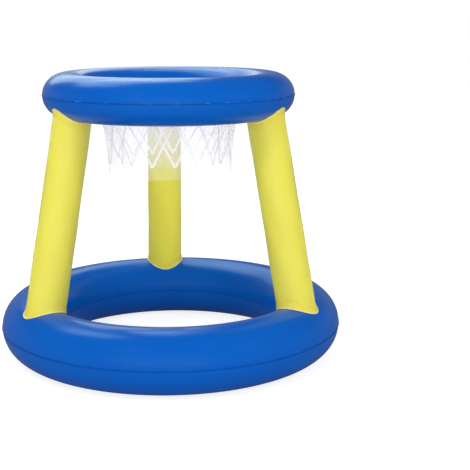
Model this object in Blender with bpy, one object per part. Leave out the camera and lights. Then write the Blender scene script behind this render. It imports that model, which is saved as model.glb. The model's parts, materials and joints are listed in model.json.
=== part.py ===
"""Floating basketball hoop: an inflated float ring carries an inflated hoop ring on three inflated legs.

A clear film with a printed net hangs in the hoop, and each ring has a push-in air valve on its far side.
Metres, +Z up. The origin is on the ground under the middle of the float ring, and the front is -Y.
"""
import math
from dataclasses import dataclass

import bmesh
import bpy
from mathutils import Matrix, Vector

# Vinyl sheet and its welds. A ring's facets bulge a little towards its hole, and the seats clear them.
WALL = 0.0003
WELD_LIP = 0.0015
GAP = 0.0003
SEAT = 0.0006
DISC_SEAT = 0.0009

# Float ring, measured over its weld lip
FLOAT_OUTER_DIAMETER = 0.619
FLOAT_TUBE_WIDTH = 0.112
FLOAT_TUBE_HEIGHT = 0.111
FLOAT_SAG = 0.0005
FLOAT_STEPS = 52
FLOAT_ARCS = 5

# Hoop ring, measured over its weld lip
HOOP_OUTER_DIAMETER = 0.449
HOOP_TUBE_WIDTH = 0.084
HOOP_TUBE_HEIGHT = 0.078
HOOP_STEPS = 48
HOOP_ARCS = 4
OVERALL_HEIGHT = 0.5075

# Legs: each stands where the hand weld put it, near even thirds of the ring. Its axis runs from a little
# outside the middle of the float ring's tube to the middle of the hoop ring's
LEG_AZIMUTHS_DEG = {"left": 209.0, "right": 331.0, "back": 93.0}
LEG_FOOT_OUTWARD = 0.006
LEG_FOOT_DIAMETER = 0.067
LEG_HEAD_DIAMETER = 0.064
LEG_FIN = 0.003
LEG_FLARE = 0.012
LEG_SEAM_HEIGHT = 0.0012
LEG_SEAM_WIDTH = 0.003
LEG_SIDES = 20
LEG_DISC_STEP_DEG = 11.0
AIR_PORT_DIAMETER = 0.010

# Film and printed net
FILM = 0.0003
FILM_DROP = 0.1435
FILM_HEM_DIAMETER = 0.223
FILM_FLARE_POWER = 2.6
FILM_PLEAT_AZIMUTHS_DEG = (210.0, 330.0)
FILM_PLEAT_DEPTH = 0.016
FILM_PLEAT_COLUMNS = 2
NET_COLUMNS = 18
NET_ROWS = 3
NET_STRAND_WIDTH = 0.0026
NET_PRINT = 0.0003
NET_CLEAR_TOP = 0.004
NET_CLEAR_HEM = 0.022

# Air valves: where each sits on its ring, then sizes across and heights along the valve's axis
FLOAT_VALVE_AZIMUTH_DEG = 150.0
FLOAT_VALVE_SECTION_DEG = 30.0
HOOP_VALVE_AZIMUTH_DEG = 45.0
HOOP_VALVE_SECTION_DEG = 35.0
STEM_DIAMETER = 0.011
STEM_WALL = 0.0015
STEM_DEPTH = 0.018
STEM_RIM_OVERHANG = 0.0011
STEM_RIM = 0.0008
STEM_STOP_OVERHANG = 0.0015
STEM_STOP = 0.0015
SLEEVE_WALL = 0.0008
SLEEVE_DEPTH = 0.003
COLLAR_WALL = 0.0017
COLLAR_HEIGHT = 0.002
FLANGE_WIDTH = 0.0065
FLANGE = 0.0008
CAP_OVERHANG = 0.0004
CAP_THICKNESS = 0.0016
CAP_EDGE = 0.0004
CAP_TAB = 0.003
PLUG_CLEARANCE = 0.0004
PLUG_TAPER = 0.0008
PLUG_LENGTH = 0.0045
STRAP_WIDTH = 0.004
STRAP = 0.0007
STRAP_REACH = 0.0047
FLAP_OVERLAP = 0.0012
FLAP = 0.0008
FLAP_HINGE_REACH = 0.0004
VALVE_SIDES = 16

# One overrun for every cut, and how far a fused tongue keeps off its neighbour's faces
OVERRUN = 0.004
TONGUE_INSET_SHARE = 0.125

# How finely shapes are worked out: shares of a gap, a tube's height, a net column and the film's drop
SMOOTH_ANGLE_DEG = 50.0
MERGE_SHARE = 0.01
STRIDE_SHARE = 0.0625
HALVINGS = 40
PROBE_TURN_SHARE = 0.0625
PROBE_DROP_SHARE = 0.005

# Colours, and each finish's roughness
ROYAL_BLUE = (0.012, 0.105, 0.510)
BLUE_ROUGHNESS = 0.22
BUTTER_YELLOW = (0.790, 0.730, 0.105)
YELLOW_ROUGHNESS = 0.38
CLEAR_FILM = (0.900, 0.915, 0.930)
FILM_ROUGHNESS = 0.15
FILM_ALPHA = 0.35
NET_WHITE = (0.920, 0.920, 0.930)
INK_ROUGHNESS = 0.5
CLEAR_VALVE = (0.780, 0.810, 0.840)
VALVE_ROUGHNESS = 0.3

# Worked out from the sizes above: the legs' and the net's own
LEG_STAND = DISC_SEAT + WALL + GAP
FILM_TOP = OVERALL_HEIGHT - HOOP_TUBE_HEIGHT / 2 - GAP / 2 - WALL - GAP
FILM_TOP_DIAMETER = HOOP_OUTER_DIAMETER - 2 * HOOP_TUBE_WIDTH - 3 * WELD_LIP
NET_COLUMN_TURN = math.tau / NET_COLUMNS
NET_ROW_FALL = (FILM_DROP - NET_CLEAR_TOP - NET_CLEAR_HEM) / NET_ROWS

# Worked out from the sizes above: how the pieces of a valve fit each other
STEM_BORE = STEM_DIAMETER - 2 * STEM_WALL
SLEEVE_BORE = STEM_DIAMETER + 2 * GAP
SLEEVE_DIAMETER = SLEEVE_BORE + 2 * SLEEVE_WALL
SKIN_HOLE_DIAMETER = SLEEVE_DIAMETER + 2 * GAP
COLLAR_DIAMETER = SLEEVE_BORE + 2 * COLLAR_WALL
FLANGE_DIAMETER = COLLAR_DIAMETER + 2 * FLANGE_WIDTH
RIM_LOW = COLLAR_HEIGHT + GAP
RIM_TOP = RIM_LOW + STEM_RIM
CAP_LOW = RIM_TOP + GAP
CAP_DIAMETER = STEM_DIAMETER + 2 * STEM_RIM_OVERHANG + 2 * CAP_OVERHANG
CAP_PIVOT_REACH = CAP_DIAMETER / 2 + STRAP_REACH
CAP_PIVOT_HEIGHT = RIM_TOP + GAP / 2
FLAP_TOP = -STEM_DEPTH - GAP
FLAP_DIAMETER = STEM_BORE + 2 * FLAP_OVERLAP
FLAP_PIVOT_REACH = FLAP_DIAMETER / 2 + FLAP_HINGE_REACH
FLAP_PIVOT_HEIGHT = -STEM_DEPTH - GAP / 2


@dataclass
class Ring:
    """An inflated ring: its tube's centre circle and half sizes, its seam's height, and its facets."""

    radius: float
    half_width: float
    half_height: float
    seam: float
    sag: float
    steps: int
    arcs: int


FLOAT_RING = Ring(
    radius=FLOAT_OUTER_DIAMETER / 2 - WELD_LIP - FLOAT_TUBE_WIDTH / 2,
    half_width=FLOAT_TUBE_WIDTH / 2,
    half_height=FLOAT_TUBE_HEIGHT / 2,
    seam=FLOAT_TUBE_HEIGHT / 2 - FLOAT_SAG,
    sag=FLOAT_SAG,
    steps=FLOAT_STEPS,
    arcs=FLOAT_ARCS,
)
HOOP_RING = Ring(
    radius=HOOP_OUTER_DIAMETER / 2 - WELD_LIP - HOOP_TUBE_WIDTH / 2,
    half_width=HOOP_TUBE_WIDTH / 2,
    half_height=HOOP_TUBE_HEIGHT / 2,
    seam=OVERALL_HEIGHT - HOOP_TUBE_HEIGHT / 2,
    sag=0.0,
    steps=HOOP_STEPS,
    arcs=HOOP_ARCS,
)


def clear_scene():
    for thing in list(bpy.data.objects):
        bpy.data.objects.remove(thing, do_unlink=True)


def material(name, colour, roughness, alpha=1.0):
    made = bpy.data.materials.new(name)
    made.use_nodes = True
    shader = made.node_tree.nodes["Principled BSDF"]
    shader.inputs["Base Color"].default_value = (*colour, 1.0)
    shader.inputs["Roughness"].default_value = roughness
    shader.inputs["Metallic"].default_value = 0.0
    shader.inputs["Alpha"].default_value = alpha
    made.diffuse_color = (*colour, alpha)
    return made


def blue_vinyl(piece):
    piece.data.materials.append(material(piece.name + "_vinyl", ROYAL_BLUE, BLUE_ROUGHNESS))


def yellow_vinyl(piece):
    piece.data.materials.append(material(piece.name + "_vinyl", BUTTER_YELLOW, YELLOW_ROUGHNESS))


def clear_film(piece):
    piece.data.materials.append(material(piece.name + "_clear", CLEAR_FILM, FILM_ROUGHNESS, FILM_ALPHA))


def white_ink(piece):
    piece.data.materials.append(material(piece.name + "_ink", NET_WHITE, INK_ROUGHNESS))


def valve_vinyl(piece):
    piece.data.materials.append(material(piece.name + "_moulding", CLEAR_VALVE, VALVE_ROUGHNESS))


def finish(name, bm):
    """Turn a closed bmesh into a named object with its faces out and its round sides smooth."""
    bmesh.ops.recalc_face_normals(bm, faces=bm.faces)
    mesh = bpy.data.meshes.new(name)
    bm.to_mesh(mesh)
    bm.free()
    mesh.shade_smooth()
    mesh.set_sharp_from_angle(angle=math.radians(SMOOTH_ANGLE_DEG))
    piece = bpy.data.objects.new(name, mesh)
    bpy.context.collection.objects.link(piece)
    return piece


def revolve(name, profile, steps):
    """Spin a closed profile of (radius, height) points round Z, without the edge that lies on the axis."""
    bm = bmesh.new()
    points = [bm.verts.new((radius, 0.0, height)) for radius, height in profile]
    edges = [bm.edges.new(pair) for pair in zip(points, points[1:] + points[:1])
             if pair[0].co.x > 0.0 or pair[1].co.x > 0.0]
    bmesh.ops.spin(bm, geom=points + edges, cent=(0, 0, 0), axis=(0, 0, 1),
                   angle=math.tau, steps=steps, use_merge=True)
    bmesh.ops.remove_doubles(bm, verts=bm.verts, dist=GAP * MERGE_SHARE)
    return finish(name, bm)


def sleeve(name, loops):
    """Join closed loops of points into a tube's wall: each loop to the next, and the last to the first."""
    bm = bmesh.new()
    rows = [[bm.verts.new(point) for point in loop] for loop in loops]
    for row, following in zip(rows, rows[1:] + rows[:1]):
        for k in range(len(row)):
            after = (k + 1) % len(row)
            bm.faces.new((row[k], row[after], following[after], following[k]))
    return finish(name, bm)


def slab(name, faces, front, back):
    """Close a sheet of faces into a thin solid between its front points and its back points."""
    bm = bmesh.new()
    fronts = {key: bm.verts.new(point) for key, point in front.items()}
    backs = {key: bm.verts.new(point) for key, point in back.items()}
    rim = {}
    for face in faces:
        bm.faces.new([fronts[key] for key in face])
        bm.faces.new([backs[key] for key in reversed(face)])
        for pair in zip(face, face[1:] + face[:1]):
            if rim.pop(pair[::-1], None) is None:
                rim[pair] = pair
    for first, second in rim:
        bm.faces.new((fronts[second], fronts[first], backs[first], backs[second]))
    return finish(name, bm)


def block(name, low, high):
    """A rectangular block between two corners."""
    bm = bmesh.new()
    size = Vector(high) - Vector(low)
    middle = (Vector(high) + Vector(low)) / 2
    bmesh.ops.create_cube(bm, size=1.0, matrix=Matrix.Translation(middle) @ Matrix.Diagonal((*size, 1.0)))
    return finish(name, bm)


def rod(name, frame, diameter):
    """A round rod along a frame's Z axis that overruns a skin on both sides."""
    bm = bmesh.new()
    bmesh.ops.create_cone(bm, cap_ends=True, segments=VALVE_SIDES, radius1=diameter / 2,
                          radius2=diameter / 2, depth=2 * OVERRUN)
    piece = finish(name, bm)
    piece.matrix_world = frame
    return piece


def combine(piece, shape, operation):
    """Add a shape to a piece or take it away, and hide the shape itself."""
    shape.hide_render = True
    shape.display_type = "WIRE"
    boolean = piece.modifiers.new(shape.name, "BOOLEAN")
    boolean.operation = operation
    boolean.object = shape


def section_point(ring, angle, inset=0.0):
    """Radius and height of a ring's wall at an angle round its section, moved in along the normal."""
    spread = Vector((ring.half_width * math.cos(angle), ring.half_height * math.sin(angle)))
    normal = Vector((math.cos(angle) / ring.half_width, math.sin(angle) / ring.half_height)).normalized()
    point = Vector((ring.radius, ring.seam)) + spread - normal * inset
    ground = ring.seam - ring.half_height + ring.sag + inset
    return point.x, max(point.y, ground)


def half_angles(ring, side, start):
    """Section angles of half a ring's wall, from its outer weld to its inner one."""
    flat = math.acos(1.0 - ring.sag / ring.half_height) if side < 0 else 0.0
    reach = math.pi / 2 - flat - start
    outer = [start + reach * k / ring.arcs for k in range(ring.arcs + 1)]
    inner = [math.pi - angle for angle in reversed(outer)]
    if flat == 0.0:
        inner = inner[1:]
    return [side * angle for angle in outer + inner]


def ring_skin(name, ring, side):
    """One half of a ring's skin: side 1 is the upper sheet, side -1 the lower one."""
    face = GAP / 2
    back = face + WALL
    outer_start = math.asin(back / ring.half_height)
    inner_start = math.asin(face / (ring.half_height - WALL))
    outside = [section_point(ring, angle) for angle in half_angles(ring, side, outer_start)]
    inside = [section_point(ring, angle, WALL) for angle in half_angles(ring, side, inner_start)]
    far_lip = ring.radius + ring.half_width + WELD_LIP
    near_lip = ring.radius - ring.half_width - WELD_LIP
    profile = [(far_lip, ring.seam + side * face), (far_lip, ring.seam + side * back)]
    profile += outside
    profile += [(near_lip, ring.seam + side * back), (near_lip, ring.seam + side * face)]
    profile += inside[::-1]
    piece = revolve(name, profile, ring.steps)
    blue_vinyl(piece)
    return piece


def outside_of(ring, point, offset):
    """Positive where a point is outside a ring's tube grown by an offset."""
    across = (math.hypot(point.x, point.y) - ring.radius) / (ring.half_width + offset)
    up = (point.z - ring.seam) / (ring.half_height + offset)
    return across * across + up * up - 1.0


def meet(ring, start, direction, offset):
    """Where a line from outside first meets a ring's tube grown by an offset."""
    stride = ring.half_height * STRIDE_SHARE
    high = stride
    while outside_of(ring, start + direction * high, offset) > 0.0 and high < ring.radius:
        high += stride
    low = high - stride
    for _ in range(HALVINGS):
        middle = (low + high) / 2
        if outside_of(ring, start + direction * middle, offset) > 0.0:
            low = middle
        else:
            high = middle
    return start + direction * low


@dataclass
class LegEnd:
    """One end of a leg: its ring, diameter, middle on the ring's wall, and the way into the ring."""

    name: str
    ring: Ring
    diameter: float
    middle: Vector
    into: Vector


@dataclass
class Leg:
    """A leg's two ends and the directions along it, outwards and sideways."""

    name: str
    foot: LegEnd
    head: LegEnd
    up: Vector
    out: Vector
    side: Vector


def leg_end(name, ring, diameter, target, into):
    """The end of a leg whose axis points at a target inside the ring's tube."""
    middle = meet(ring, target - into * ring.half_height * 2, into, 0.0)
    return LegEnd(name, ring, diameter, middle, into)


def plan_leg(name, azimuth_deg):
    azimuth = math.radians(azimuth_deg)
    radial = Vector((math.cos(azimuth), math.sin(azimuth), 0.0))
    low = radial * (FLOAT_RING.radius + LEG_FOOT_OUTWARD) + Vector((0, 0, FLOAT_RING.seam))
    high = radial * HOOP_RING.radius + Vector((0, 0, HOOP_RING.seam))
    up = (high - low).normalized()
    side = up.cross(radial).normalized()
    foot = leg_end("foot", FLOAT_RING, LEG_FOOT_DIAMETER, low, -up)
    head = leg_end("head", HOOP_RING, LEG_HEAD_DIAMETER, high, up)
    return Leg(name, foot, head, up, side.cross(up).normalized(), side)


def point_on_ring(leg, end, angle, reach, offset):
    """Where a line along the leg, at a reach from its middle, meets the ring's tube grown by an offset."""
    aside = (leg.out * math.cos(angle) + leg.side * math.sin(angle)) * reach
    start = end.middle + aside - end.into * end.ring.half_height * 2
    return meet(end.ring, start, end.into, offset)


def leg_angles():
    """Angles round a leg, with two more beside the lengthwise seam on its outer side."""
    edge = LEG_SEAM_WIDTH / LEG_FOOT_DIAMETER
    turns = [math.tau * k / LEG_SIDES for k in range(1, LEG_SIDES)]
    return [0.0, edge] + turns + [-edge]


def leg_loop(leg, end, extra, rise):
    """One loop of points round a leg's end: extra outside its wall, and raised along the leg."""
    loop = []
    for angle in leg_angles():
        seam = LEG_SEAM_HEIGHT if angle == 0.0 and extra >= 0.0 else 0.0
        reach = end.diameter / 2 + extra + seam
        loop.append(point_on_ring(leg, end, angle, reach, LEG_STAND) - end.into * rise)
    return loop


def make_leg_tube(leg):
    """The leg's wall: a flared weld fin at each end and a straight tapered tube between."""
    loops = [
        leg_loop(leg, leg.foot, LEG_FIN, 0.0),
        leg_loop(leg, leg.foot, LEG_FIN, WALL),
        leg_loop(leg, leg.foot, 0.0, LEG_FLARE),
        leg_loop(leg, leg.head, 0.0, LEG_FLARE),
        leg_loop(leg, leg.head, LEG_FIN, WALL),
        leg_loop(leg, leg.head, LEG_FIN, 0.0),
        leg_loop(leg, leg.head, -WALL, LEG_FLARE),
        leg_loop(leg, leg.foot, -WALL, LEG_FLARE),
    ]
    piece = sleeve(leg.name + "_leg_tube", loops)
    yellow_vinyl(piece)


def make_leg_disc(leg, end, port_diameter):
    """The disc that closes a leg's end: it follows the ring out to the weld fin, round its air port."""
    first = math.asin(port_diameter / 2 / end.ring.half_width)
    last = math.asin((end.diameter / 2 + LEG_FIN) / end.ring.half_width)
    bands = math.ceil((last - first) / math.radians(LEG_DISC_STEP_DEG))
    near_ring = {}
    for band in range(bands + 1):
        arc = first + (last - first) * band / bands
        reach = end.ring.half_width * math.sin(arc)
        for k in range(LEG_SIDES if reach > 0.0 else 1):
            near_ring[band, k] = point_on_ring(leg, end, math.tau * k / LEG_SIDES, reach, DISC_SEAT)
    faces = []
    for band in range(bands):
        for k in range(LEG_SIDES):
            after = (k + 1) % LEG_SIDES
            outer = ((band + 1, k), (band + 1, after))
            closes_middle = band == 0 and port_diameter == 0.0
            inner = ((0, 0),) if closes_middle else ((band, after), (band, k))
            faces.append(outer + inner)
    near_leg = {key: point - end.into * WALL for key, point in near_ring.items()}
    piece = slab(f"{leg.name}_leg_{end.name}_disc", faces, near_leg, near_ring)
    yellow_vinyl(piece)


def make_air_port(leg, skin):
    """The hole in the hoop's lower skin that lets air pass into a leg."""
    turn = Matrix((leg.out, leg.side, leg.up)).transposed().to_4x4()
    port = rod(leg.name + "_air_port", Matrix.Translation(leg.head.middle) @ turn, AIR_PORT_DIAMETER)
    combine(skin, port, "DIFFERENCE")


def film_face(turn, drop):
    """A point of the film's outer face: it narrows from the weld to the hem and folds in at each pleat."""
    share = drop / FILM_DROP
    narrowing = (FILM_TOP_DIAMETER - FILM_HEM_DIAMETER) / 2
    radius = FILM_HEM_DIAMETER / 2 + narrowing * (1.0 - share) ** FILM_FLARE_POWER
    half_pleat = NET_COLUMN_TURN / 2 * FILM_PLEAT_COLUMNS
    for pleat_deg in FILM_PLEAT_AZIMUTHS_DEG:
        away = abs((turn - math.radians(pleat_deg) + math.pi) % math.tau - math.pi)
        radius -= FILM_PLEAT_DEPTH * share * max(0.0, 1.0 - away / half_pleat)
    return Vector((radius * math.cos(turn), radius * math.sin(turn), FILM_TOP - drop))


def film_point(turn, drop, lift):
    """A point lifted off the film's outer face along its normal."""
    aside = NET_COLUMN_TURN * PROBE_TURN_SHARE
    reach = FILM_DROP * PROBE_DROP_SHARE
    around = film_face(turn + aside, drop) - film_face(turn - aside, drop)
    down = film_face(turn, min(drop + reach, FILM_DROP)) - film_face(turn, max(drop - reach, 0.0))
    return film_face(turn, drop) + down.cross(around).normalized() * lift


def make_net_film():
    """The clear film: a sheet with a point at each crossing of the net, from its weld to its hem."""
    columns = NET_COLUMNS * 2
    crossings = [NET_CLEAR_TOP + NET_ROW_FALL * half / 2 for half in range(NET_ROWS * 2 + 1)]
    drops = [0.0] + crossings + [FILM_DROP]
    front, back, faces = {}, {}, []
    for row, drop in enumerate(drops):
        for column in range(columns):
            turn = NET_COLUMN_TURN / 2 * column
            front[column, row] = film_point(turn, drop, 0.0)
            back[column, row] = film_point(turn, drop, -FILM)
    for row in range(len(drops) - 1):
        for column in range(columns):
            after = (column + 1) % columns
            faces.append(((column, row), (after, row), (after, row + 1), (column, row + 1)))
    piece = slab("net_film", faces, front, back)
    clear_film(piece)


def make_net_print():
    """The printed net: strands that cross in diamonds, joined at each crossing by a small rhombus."""
    columns = NET_COLUMNS * 2
    turn = NET_COLUMN_TURN / 2
    slant = math.atan2(turn * FILM_HEM_DIAMETER / 2, NET_ROW_FALL)
    half_tall = NET_STRAND_WIDTH / 2 / math.sin(slant)
    half_wide = NET_STRAND_WIDTH / FILM_HEM_DIAMETER / math.cos(slant)
    places, faces = {}, []

    def corner(column, row, across, along):
        key = (column % columns, row, across, along)
        drop = NET_CLEAR_TOP + NET_ROW_FALL * row
        places[key] = (turn * column + across * half_wide, drop + along * half_tall)
        return key

    for row in range(NET_ROWS + 1):
        for column in range(row % 2, columns, 2):
            top, bottom = corner(column, row, 0, -1), corner(column, row, 0, 1)
            left, right = corner(column, row, -1, 0), corner(column, row, 1, 0)
            faces.append((top, right, bottom, left))
            if row == NET_ROWS:
                continue
            for way in (1, -1):
                near = right if way == 1 else left
                far_top = corner(column + way, row + 1, 0, -1)
                far_near = corner(column + way, row + 1, -way, 0)
                upper = (near, far_top)
                lower = (bottom, far_near)
                place = turn * (column + way / 2)
                drop = NET_CLEAR_TOP + NET_ROW_FALL * (row + 1 / 2)
                places[upper] = (place + way * half_wide / 2, drop - half_tall / 2)
                places[lower] = (place - way * half_wide / 2, drop + half_tall / 2)
                first = (near, upper, lower, bottom)
                second = (upper, far_top, far_near, lower)
                faces += [first, second] if way == 1 else [first[::-1], second[::-1]]
    front = {key: film_point(*place, SEAT + NET_PRINT) for key, place in places.items()}
    back = {key: film_point(*place, SEAT) for key, place in places.items()}
    piece = slab("net_print", faces, front, back)
    white_ink(piece)


def valve_frame(ring, azimuth_deg, section_deg):
    """A frame on a ring's skin: X along the ring, Z out along the skin's normal."""
    azimuth, section = math.radians(azimuth_deg), math.radians(section_deg)
    radius, height = section_point(ring, section)
    slope = Vector((math.cos(section) / ring.half_width, math.sin(section) / ring.half_height)).normalized()
    out = Vector((math.cos(azimuth), math.sin(azimuth), 0.0))
    along = Vector((-math.sin(azimuth), math.cos(azimuth), 0.0))
    normal = out * slope.x + Vector((0, 0, slope.y))
    across = normal.cross(along)
    turn = Matrix((along, across, normal)).transposed().to_4x4()
    return Matrix.Translation(out * radius + Vector((0, 0, height))) @ turn


def circle(frame, diameter, height):
    """A loop of points square to a frame's Z axis."""
    angles = [math.tau * k / VALVE_SIDES for k in range(VALVE_SIDES)]
    return [frame @ Vector((diameter / 2 * math.cos(angle), diameter / 2 * math.sin(angle), height))
            for angle in angles]


def circle_on(ring, frame, diameter, offset):
    """A loop of points that lies over a ring's skin, round a frame's Z axis."""
    inwards = -frame.col[2].to_3d()
    return [meet(ring, point, inwards, offset) for point in circle(frame, diameter, diameter)]


def make_valve_base(label, ring, frame):
    """The valve's moulding on the skin: a flange that follows it, a collar and a short sleeve inside."""
    loops = [
        circle_on(ring, frame, FLANGE_DIAMETER, SEAT),
        circle_on(ring, frame, FLANGE_DIAMETER, SEAT + FLANGE),
        circle_on(ring, frame, COLLAR_DIAMETER, SEAT + FLANGE),
        circle(frame, COLLAR_DIAMETER, COLLAR_HEIGHT),
        circle(frame, SLEEVE_BORE, COLLAR_HEIGHT),
        circle(frame, SLEEVE_BORE, -SLEEVE_DEPTH),
        circle(frame, SLEEVE_DIAMETER, -SLEEVE_DEPTH),
        circle_on(ring, frame, SLEEVE_DIAMETER, SEAT),
    ]
    piece = sleeve(label + "_valve_base", loops)
    valve_vinyl(piece)


def make_valve_stem(label, site):
    """The stem that pushes in: a bored tube with a rim, a stop inside and a tongue for the cap."""
    bore, wall = STEM_BORE / 2, STEM_DIAMETER / 2
    rim, stop = wall + STEM_RIM_OVERHANG, wall + STEM_STOP_OVERHANG
    profile = [
        (bore, RIM_TOP), (rim, RIM_TOP), (rim, RIM_LOW), (wall, RIM_LOW),
        (wall, -STEM_DEPTH + STEM_STOP), (stop, -STEM_DEPTH + STEM_STOP),
        (stop, -STEM_DEPTH), (bore, -STEM_DEPTH),
    ]
    piece = revolve(label + "_valve_stem", profile, VALVE_SIDES)
    inset = STRAP * TONGUE_INSET_SHARE
    tongue = block(label + "_tongue", ((bore + wall) / 2, -STRAP_WIDTH / 2, RIM_TOP - STRAP),
                   (CAP_PIVOT_REACH - GAP / 2, STRAP_WIDTH / 2, RIM_TOP - inset))
    for shape in (piece, tongue):
        shape.parent = site
    combine(piece, tongue, "UNION")
    valve_vinyl(piece)


def make_valve_cap(label, site):
    """The cap with its tapered plug, pull tab and strap; its origin is on the strap's fold."""
    disc = CAP_DIAMETER / 2
    plug = STEM_BORE / 2 - PLUG_CLEARANCE
    top = CAP_LOW + CAP_THICKNESS
    profile = [
        (0.0, top), (disc - CAP_EDGE, top), (disc, top - CAP_EDGE), (disc, CAP_LOW),
        (plug, CAP_LOW), (plug - PLUG_TAPER, CAP_LOW - PLUG_LENGTH), (0.0, CAP_LOW - PLUG_LENGTH),
    ]
    piece = revolve(label + "_valve_cap", profile, VALVE_SIDES)
    low, high = CAP_LOW + STRAP * TONGUE_INSET_SHARE, CAP_LOW + STRAP
    root = disc - CAP_TAB
    strap = block(label + "_strap", (root, -STRAP_WIDTH / 2, low), (CAP_PIVOT_REACH, STRAP_WIDTH / 2, high))
    tab = block(label + "_tab", (-disc - CAP_TAB, -STRAP_WIDTH / 2, low), (-root, STRAP_WIDTH / 2, high))
    for shape in (piece, strap, tab):
        shape.data.transform(Matrix.Translation((-CAP_PIVOT_REACH, 0, -CAP_PIVOT_HEIGHT)))
        shape.parent = site
        shape.location = (CAP_PIVOT_REACH, 0, CAP_PIVOT_HEIGHT)
    combine(piece, strap, "UNION")
    combine(piece, tab, "UNION")
    valve_vinyl(piece)


def make_valve_flap(label, site):
    """The check flap under the stem's inner end; its origin is on its hinge edge."""
    low = FLAP_TOP - FLAP
    radius = FLAP_DIAMETER / 2
    profile = [(0.0, FLAP_TOP), (radius, FLAP_TOP), (radius, low), (0.0, low)]
    piece = revolve(label + "_valve_flap", profile, VALVE_SIDES)
    inset = FLAP * TONGUE_INSET_SHARE
    tab = block(label + "_flap_tab", (radius / 2, -STRAP_WIDTH / 2, low + inset),
                (FLAP_PIVOT_REACH, STRAP_WIDTH / 2, FLAP_TOP - inset))
    for shape in (piece, tab):
        shape.data.transform(Matrix.Translation((-FLAP_PIVOT_REACH, 0, -FLAP_PIVOT_HEIGHT)))
        shape.parent = site
        shape.location = (FLAP_PIVOT_REACH, 0, FLAP_PIVOT_HEIGHT)
    combine(piece, tab, "UNION")
    valve_vinyl(piece)


def make_valve(label, ring, skin, azimuth_deg, section_deg):
    """A whole valve on a ring's skin, with the hole that it needs there."""
    frame = valve_frame(ring, azimuth_deg, section_deg)
    site = bpy.data.objects.new(label + "_valve_site", None)
    bpy.context.collection.objects.link(site)
    site.matrix_world = frame
    combine(skin, rod(label + "_valve_hole", frame, SKIN_HOLE_DIAMETER), "DIFFERENCE")
    make_valve_base(label, ring, frame)
    make_valve_stem(label, site)
    make_valve_cap(label, site)
    make_valve_flap(label, site)


def build():
    clear_scene()
    float_upper = ring_skin("float_ring_upper_skin", FLOAT_RING, 1)
    ring_skin("float_ring_lower_skin", FLOAT_RING, -1)
    hoop_upper = ring_skin("hoop_ring_upper_skin", HOOP_RING, 1)
    hoop_lower = ring_skin("hoop_ring_lower_skin", HOOP_RING, -1)
    for name, azimuth_deg in LEG_AZIMUTHS_DEG.items():
        leg = plan_leg(name, azimuth_deg)
        make_leg_tube(leg)
        make_leg_disc(leg, leg.foot, 0.0)
        make_leg_disc(leg, leg.head, AIR_PORT_DIAMETER)
        make_air_port(leg, hoop_lower)
    make_net_film()
    make_net_print()
    make_valve("float", FLOAT_RING, float_upper, FLOAT_VALVE_AZIMUTH_DEG, FLOAT_VALVE_SECTION_DEG)
    make_valve("hoop", HOOP_RING, hoop_upper, HOOP_VALVE_AZIMUTH_DEG, HOOP_VALVE_SECTION_DEG)
    bpy.context.view_layer.update()


build()
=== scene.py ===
import json
import math

import bmesh
import bpy
from mathutils import Matrix, Vector


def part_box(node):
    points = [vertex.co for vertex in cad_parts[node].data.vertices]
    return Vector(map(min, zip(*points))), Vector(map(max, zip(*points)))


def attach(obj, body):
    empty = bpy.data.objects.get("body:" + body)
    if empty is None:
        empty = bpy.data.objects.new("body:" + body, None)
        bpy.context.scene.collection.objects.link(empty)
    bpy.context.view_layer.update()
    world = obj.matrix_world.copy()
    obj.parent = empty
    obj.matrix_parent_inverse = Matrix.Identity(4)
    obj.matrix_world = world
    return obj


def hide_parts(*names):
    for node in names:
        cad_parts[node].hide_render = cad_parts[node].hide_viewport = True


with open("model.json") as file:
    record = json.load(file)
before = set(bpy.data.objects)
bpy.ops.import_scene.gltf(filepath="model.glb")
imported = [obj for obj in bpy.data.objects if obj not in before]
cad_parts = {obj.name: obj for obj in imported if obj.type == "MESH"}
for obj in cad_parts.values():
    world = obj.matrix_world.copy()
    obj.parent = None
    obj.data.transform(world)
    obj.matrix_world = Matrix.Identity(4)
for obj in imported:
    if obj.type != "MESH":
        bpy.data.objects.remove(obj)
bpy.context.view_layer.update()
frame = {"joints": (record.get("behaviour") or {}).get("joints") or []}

bpy.ops.object.select_all(action="DESELECT")

# The camera. It stands about 1.9 m in front of the hoop, a little above it, and looks slightly down through
# a long lens, as a catalogue picture is taken.
CAMERA_PLACE = (0.0, -1.9295, 0.6163)
CAMERA_DOWN_DEG = 11.86
CAMERA_RIGHT_DEG = 3.475
CAMERA_LENS_MM = 82.5
camera = bpy.data.objects.new("camera", bpy.data.cameras.new("camera"))
camera.data.lens = CAMERA_LENS_MM
camera.location = CAMERA_PLACE
camera.rotation_euler = (math.radians(90 - CAMERA_DOWN_DEG), 0, -math.radians(CAMERA_RIGHT_DEG))
bpy.context.scene.collection.objects.link(camera)
bpy.context.scene.camera = camera

# The float ring. Two flat sheets of blue vinyl are welded round their edges and blown up; the sheets draw in
# at the welds, pucker there, and leave a thin lip that runs round the tube's middle.
BLUE = (0.001, 0.109, 0.510)
DEEP_BLUE = (0.001, 0.089, 0.470)
BLUE_SHEEN = (0.72, 0.92, 1.0, 1.0)
BLUE_ROUGHNESS = 0.24
BLUE_GLOSS = 0.18
BLUE_SWELL = 0.0008
# A pale blue painted highlight, in flecks beside the outer weld where the puckers catch the light
WELD_HIGHLIGHT_BLUE = (0.050, 0.280, 0.720)
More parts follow.
